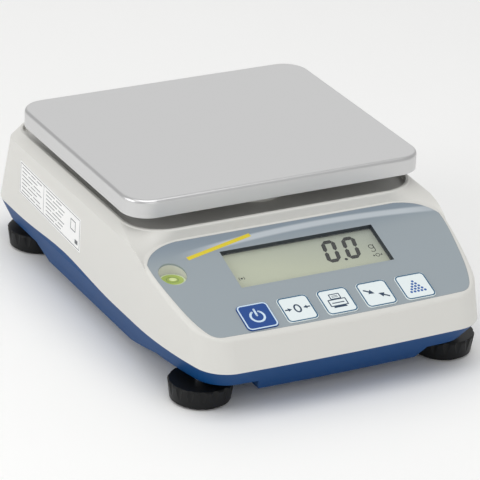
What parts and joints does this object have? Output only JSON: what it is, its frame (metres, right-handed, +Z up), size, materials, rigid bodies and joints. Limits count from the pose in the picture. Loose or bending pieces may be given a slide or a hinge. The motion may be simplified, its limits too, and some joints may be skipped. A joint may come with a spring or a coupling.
{
  "type": "compact scale",
  "caption": "Bench scale with a lift-off steel pan on a load cell, a sloping panel with display and keys, a blue base tray and screw feet.",
  "frame": {"origin": "on the bench, under the middle of the body", "axes": "+Z up, front panel towards -Y, +X to the right as seen from the front"},
  "size_m": [0.225, 0.3286, 0.112],
  "materials": {
    "stainless": "satin brushed stainless steel",
    "buffer_rubber": "matt black rubber",
    "cast_alloy": "as cast, grey",
    "cell_alloy": "machined and anodised",
    "screw_steel": "zinc plated",
    "gauge_film": "polyimide film",
    "white_shell": "fine textured moulding, warm white",
    "blue_shell": "fine textured moulding, blue",
    "printed_sheet": "printed film, blue grey",
    "dark_frame": "matt dark grey",
    "clear_window": "clear",
    "lcd_glass": "grey green display",
    "light_guide": "white light guide",
    "board": "green solder mask",
    "switch_body": "black",
    "key_white": "pale key",
    "key_blue": "blue key",
    "level_liquid": "clear vial with yellow green liquid",
    "socket_black": "black",
    "socket_shell": "nickel plated",
    "label_film": "white film",
    "foot_black": "black",
    "foot_rubber": "matt black rubber"
  },
  "bodies": {
    "base": {"load_cell": "cell_alloy", "strain_gauges": "gauge_film", "cell_spacer": "cell_alloy", "cell_screws": "screw_steel", "overload_stop": "screw_steel", "top_housing": "white_shell", "base_tray": "blue_shell", "panel_overlay": "printed_sheet", "display_bezel": "dark_frame", "display_window": "clear_window", "lcd_panel": "lcd_glass", "display_backlight": "light_guide", "display_board": "board", "board_screws": "screw_steel", "key_switches": "switch_body", "level_vial": "level_liquid", "main_board": "board", "main_board_screws": "screw_steel", "dc_jack": "socket_black", "serial_socket": "socket_shell", "socket_nuts": "screw_steel", "side_label": "label_film", "case_screws": "screw_steel"},
    "carrier": {"pan_carrier": "cast_alloy", "carrier_screws": "screw_steel", "pan_buffers": "buffer_rubber"},
    "pan": {"pan": "stainless"},
    "key_power": {"key_power": "key_blue"},
    "key_zero": {"key_zero": "key_white"},
    "key_print": {"key_print": "key_white"},
    "key_unit": {"key_unit": "key_white"},
    "key_count": {"key_count": "key_white"},
    "foot_front_left": {"foot_front_left": "foot_black", "foot_stud_front_left": "screw_steel", "foot_pad_front_left": "foot_rubber"},
    "foot_front_right": {"foot_front_right": "foot_black", "foot_stud_front_right": "screw_steel", "foot_pad_front_right": "foot_rubber"},
    "foot_rear_left": {"foot_rear_left": "foot_black", "foot_stud_rear_left": "screw_steel", "foot_pad_rear_left": "foot_rubber"},
    "foot_rear_right": {"foot_rear_right": "foot_black", "foot_stud_rear_right": "screw_steel", "foot_pad_rear_right": "foot_rubber"}
  },
  "joints": [
    {"name": "weigh_travel", "type": "slide", "parent": "base", "child": "carrier", "axis": [0, 0, 1], "range_m": [-0.0003, 0], "stiffness_N_per_m": 20000, "springref_m": 0.0005},
    {"name": "pan_lift", "type": "slide", "parent": "carrier", "child": "pan", "axis": [0, 0, 1], "range_m": [0, 0.025]},
    {"name": "press_power", "type": "slide", "parent": "base", "child": "key_power", "axis": [0, 0.3338, -0.9426], "range_m": [0, 0.0004], "stiffness_N_per_m": 3000, "springref_m": -0.0005},
    {"name": "press_zero", "type": "slide", "parent": "base", "child": "key_zero", "axis": [0, 0.3338, -0.9426], "range_m": [0, 0.0004], "stiffness_N_per_m": 3000, "springref_m": -0.0005},
    {"name": "press_print", "type": "slide", "parent": "base", "child": "key_print", "axis": [0, 0.3338, -0.9426], "range_m": [0, 0.0004], "stiffness_N_per_m": 3000, "springref_m": -0.0005},
    {"name": "press_unit", "type": "slide", "parent": "base", "child": "key_unit", "axis": [0, 0.3338, -0.9426], "range_m": [0, 0.0004], "stiffness_N_per_m": 3000, "springref_m": -0.0005},
    {"name": "press_count", "type": "slide", "parent": "base", "child": "key_count", "axis": [0, 0.3338, -0.9426], "range_m": [0, 0.0004], "stiffness_N_per_m": 3000, "springref_m": -0.0005},
    {"name": "level_front_left", "type": "slide", "parent": "base", "child": "foot_front_left", "axis": [0, 0, 1], "range_m": [-0.006, 0.0045]},
    {"name": "level_front_right", "type": "slide", "parent": "base", "child": "foot_front_right", "axis": [0, 0, 1], "range_m": [-0.006, 0.0045]},
    {"name": "level_rear_left", "type": "slide", "parent": "base", "child": "foot_rear_left", "axis": [0, 0, 1], "range_m": [-0.006, 0.0045]},
    {"name": "level_rear_right", "type": "slide", "parent": "base", "child": "foot_rear_right", "axis": [0, 0, 1], "range_m": [-0.006, 0.0045]}
  ]
}
